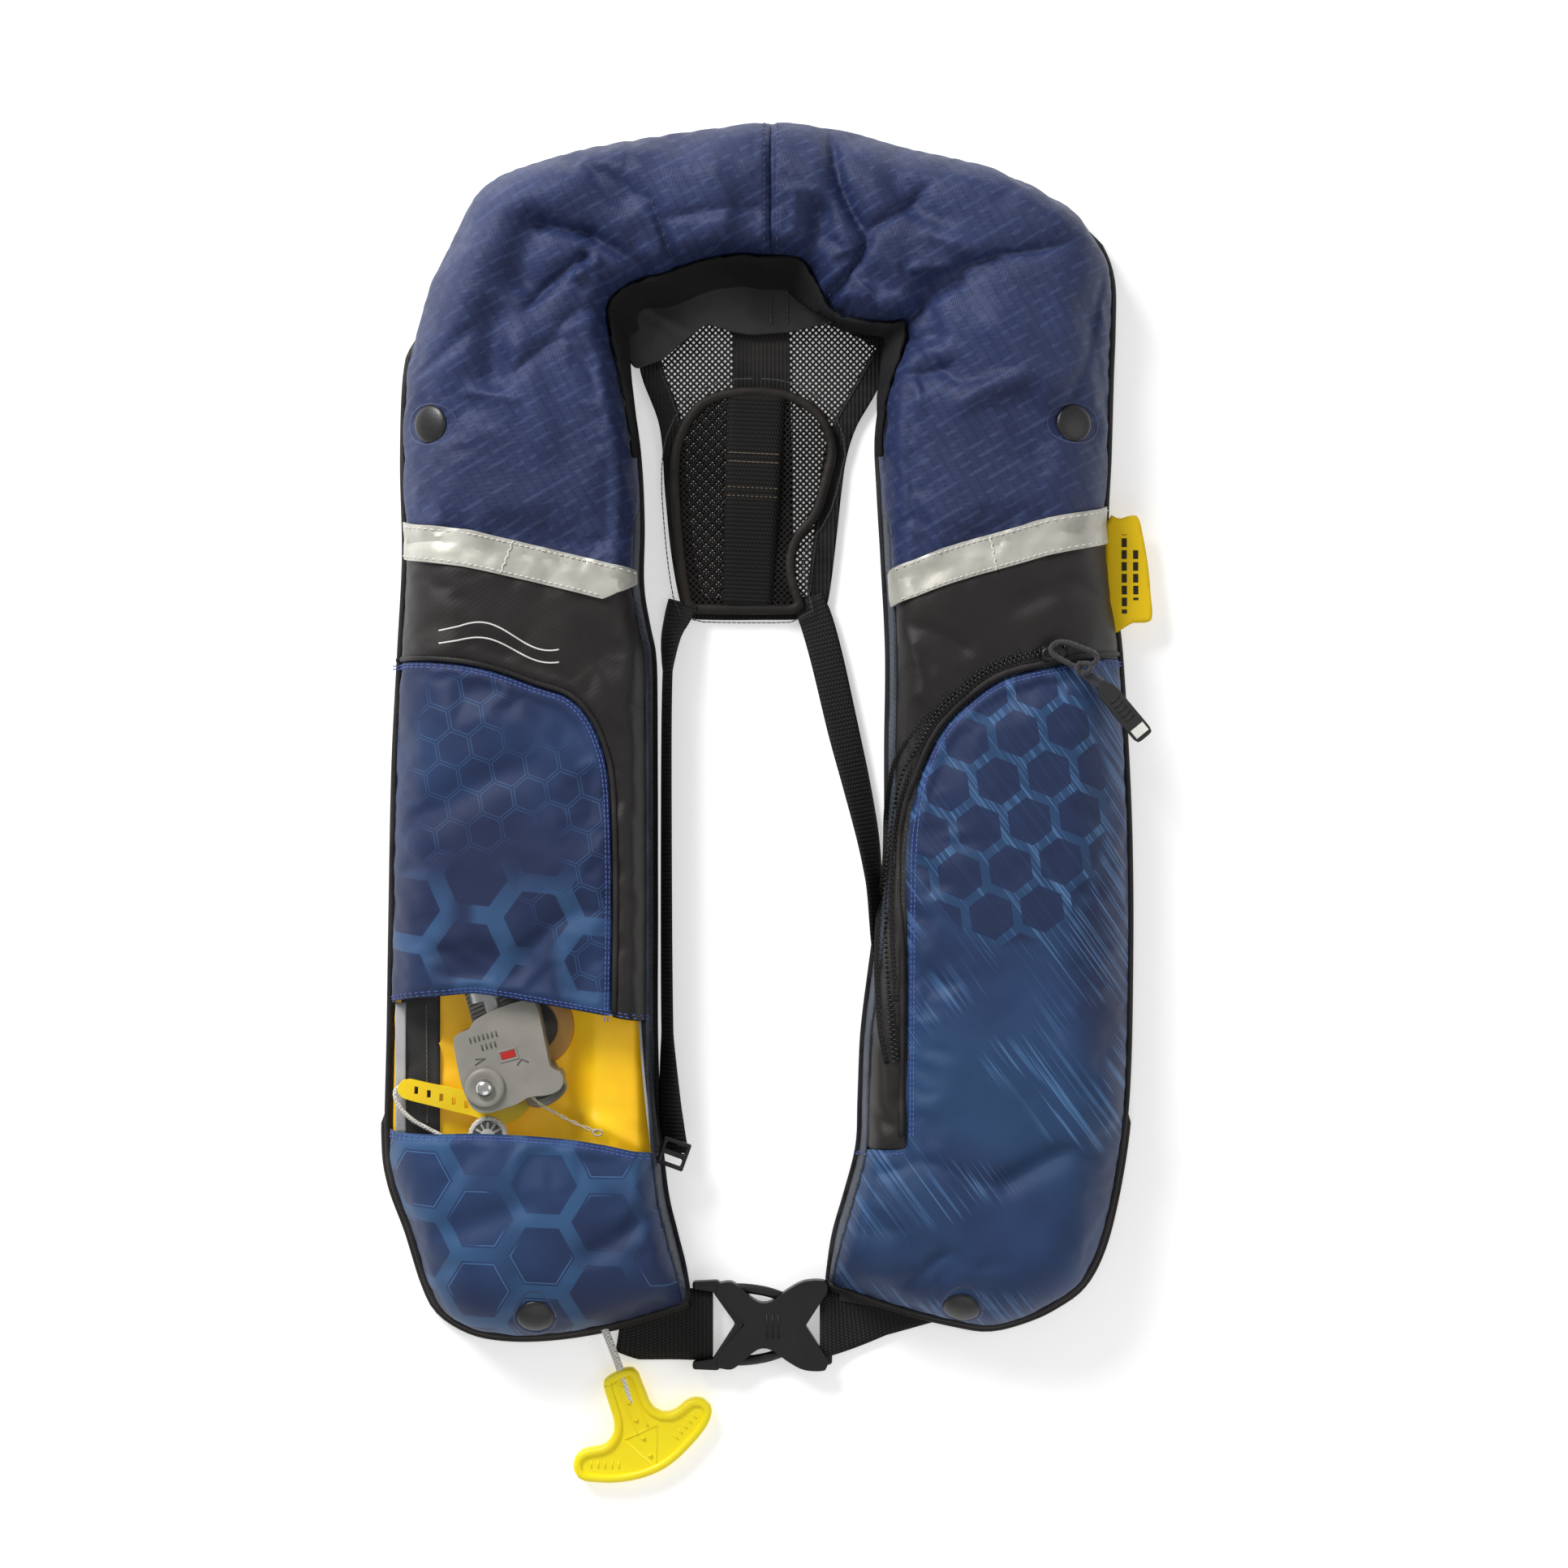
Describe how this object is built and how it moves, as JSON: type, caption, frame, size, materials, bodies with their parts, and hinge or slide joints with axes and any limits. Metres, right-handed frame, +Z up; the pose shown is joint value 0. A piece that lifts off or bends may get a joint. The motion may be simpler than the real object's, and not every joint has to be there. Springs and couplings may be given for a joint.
{
  "type": "inflatable life jacket",
  "caption": "Inflatable yoke life jacket lying flat: padded collar and two lobes, clear inflator window, zipped pocket, mesh back yoke, waist belt with side-release buckle and pull handle.",
  "frame": {"origin": "centre of the jacket's box on the surface it lies on, without the pull cord and its handle", "axes": "+Y towards the collar, +X across to the zipped lobe, +Z up from the surface, away from the back panel"},
  "size_m": [0.4005, 0.6982, 0.0553],
  "materials": {
    "ripstop_blue": "ripstop weave, slight sheen",
    "satin_black": "black satin twill",
    "print_navy": "printed twill with hexagons",
    "clear_vinyl": "clear flexible vinyl",
    "gusset_charcoal": "charcoal herringbone",
    "neoprene_black": "matt neoprene",
    "facing_charcoal": "charcoal satin",
    "back_fabric": "black woven backing",
    "piping_black": "corded piping",
    "reflective_silver": "glass-bead reflective tape",
    "tag_yellow": "plain woven tag",
    "zip_tape_black": "woven zip tape",
    "zip_coil_black": "moulded coil",
    "slider_metal": "black enamel",
    "puller_cord_black": "braided cord",
    "puller_rubber": "moulded rubber",
    "snap_black": "satin black",
    "snap_metal": "pressed steel",
    "spacer_mesh": "spacer mesh",
    "open_mesh": "open diamond mesh",
    "binding_brown_black": "folded binding",
    "webbing_black": "ribbed webbing",
    "buckle_plastic": "acetal, satin",
    "bladder_amber": "coated bladder fabric",
    "inflator_grey": "moulded grey",
    "manifold_black": "moulded",
    "steel_bright": "polished",
    "cylinder_zinc": "zinc plated",
    "indicator_red": "moulded",
    "lever_yellow": "moulded",
    "handle_yellow": "moulded",
    "cord_white": "braided cord",
    "string_beige": "twisted string",
    "oral_black": "moulded",
    "cap_white": "moulded"
  },
  "bodies": {
    "jacket": {"collar_cover_left": "ripstop_blue", "collar_cover_right": "ripstop_blue", "pocket_panel_left": "print_navy", "inflator_window": "clear_vinyl", "lower_panel_left": "print_navy", "chest_panel_left": "satin_black", "pocket_panel_right": "print_navy", "chest_panel_right": "satin_black", "neck_band": "neoprene_black", "side_gusset_left": "gusset_charcoal", "side_gusset_right": "gusset_charcoal", "back_panel_collar": "back_fabric", "back_panel_left": "back_fabric", "back_panel_right": "back_fabric", "belt_sleeves": "back_fabric", "neck_facing": "facing_charcoal", "edge_piping": "piping_black", "pocket_piping_left": "piping_black", "reflective_tapes": "reflective_silver", "zip_tape": "zip_tape_black", "zip_chain": "zip_coil_black", "snap_caps": "snap_black", "snap_sockets": "snap_metal", "warning_tag": "tag_yellow", "yoke_border": "spacer_mesh", "yoke_centre_strip": "spacer_mesh", "yoke_mesh": "open_mesh", "back_strap_left": "webbing_black", "back_strap_right": "webbing_black", "belt_webbing_right": "webbing_black", "buckle_socket": "buckle_plastic", "bladder": "bladder_amber", "inflator_housing": "inflator_grey", "firing_spring": "steel_bright", "gas_cylinder": "cylinder_zinc", "manifold": "manifold_black", "lever_pivot_pin": "steel_bright", "indicator_string": "string_beige", "oral_tube": "oral_black", "cord_grommet": "snap_black"},
    "buckle_plug": {"buckle_plug": "buckle_plastic", "belt_webbing_left": "webbing_black"},
    "buckle_prong_upper": {"buckle_prong_upper": "buckle_plastic"},
    "buckle_prong_lower": {"buckle_prong_lower": "buckle_plastic"},
    "zip_slider": {"zip_slider": "slider_metal"},
    "zip_puller": {"zip_bail": "slider_metal", "zip_pull_cord": "puller_cord_black", "zip_pull_tag": "puller_rubber"},
    "inflator_lever": {"inflator_lever": "lever_yellow", "lever_cord": "cord_white"},
    "firing_pin": {"firing_pin": "steel_bright"},
    "status_indicator": {"status_indicator": "indicator_red"},
    "pull_handle": {"pull_handle": "handle_yellow", "pull_cord": "cord_white"},
    "strap_adjuster": {"strap_adjuster": "buckle_plastic"},
    "oral_valve": {"oral_valve_poppet": "oral_black"},
    "oral_cap": {"oral_dust_cap": "cap_white"},
    "back_flap": {"back_flap": "open_mesh", "flap_binding": "binding_brown_black", "flap_webbing": "webbing_black"}
  },
  "joints": [
    {"name": "buckle_release", "type": "slide", "parent": "jacket", "child": "buckle_plug", "axis": [-1, 0, 0], "range_m": [0, 0.028]},
    {"name": "prong_upper_flex", "type": "hinge", "parent": "buckle_plug", "child": "buckle_prong_upper", "pos_m": [-0.025, -0.28402, 0.005], "axis": [0, 0, 1], "range_deg": [-8, 0], "stiffness_Nm_per_rad": 0.1},
    {"name": "prong_lower_flex", "type": "hinge", "parent": "buckle_plug", "child": "buckle_prong_lower", "pos_m": [-0.025, -0.32102, 0.005], "axis": [0, 0, 1], "range_deg": [0, 8], "stiffness_Nm_per_rad": 0.1},
    {"name": "zip_run", "type": "hinge", "parent": "jacket", "child": "zip_slider", "pos_m": [0.151, -0.03852, 0.048], "axis": [0, 0, 1], "range_deg": [0, 82]},
    {"name": "zip_puller_lift", "type": "hinge", "parent": "zip_slider", "child": "zip_puller", "pos_m": [0.1455, 0.04748, 0.0533], "axis": [0, -1, 0], "range_deg": [0, 120]},
    {"name": "lever_pull", "type": "hinge", "parent": "jacket", "child": "inflator_lever", "pos_m": [-0.146, -0.17552, 0.0128], "axis": [0, 0, 1], "range_deg": [0, 75]},
    {"name": "pin_strike", "type": "slide", "parent": "jacket", "child": "firing_pin", "axis": [-0.2588, 0.9659, 0], "range_m": [0, 0.0051], "deforming": ["firing_spring"]},
    {"name": "indicator_shift", "type": "slide", "parent": "jacket", "child": "status_indicator", "axis": [0.9659, 0.2588, 0], "range_m": [0, 0.0041]},
    {"name": "handle_pull", "type": "slide", "parent": "jacket", "child": "pull_handle", "axis": [0.35, -0.9367, 0], "range_m": [0, 0.0301]},
    {"name": "strap_adjust", "type": "slide", "parent": "jacket", "child": "strap_adjuster", "axis": [0, 1, 0], "range_m": [0, 0.06]},
    {"name": "oral_valve_press", "type": "slide", "parent": "jacket", "child": "oral_valve", "axis": [0, -1, 0], "range_m": [0, 0.004], "stiffness_N_per_m": 150, "springref_m": -0.001},
    {"name": "oral_cap_pull", "type": "slide", "parent": "jacket", "child": "oral_cap", "axis": [0, 1, 0], "range_m": [0, 0.01]},
    {"name": "flap_lift", "type": "hinge", "parent": "jacket", "child": "back_flap", "pos_m": [-0.008, 0.07048, 0.0034], "axis": [1, 0, 0], "range_deg": [0, 85]}
  ],
  "couplings": [
    {"joint": "pin_strike", "follows": "lever_pull", "m_per_rad": 0.0038197},
    {"joint": "indicator_shift", "follows": "lever_pull", "m_per_rad": 0.0030558},
    {"joint": "handle_pull", "follows": "lever_pull", "m_per_rad": 0.022918}
  ]
}
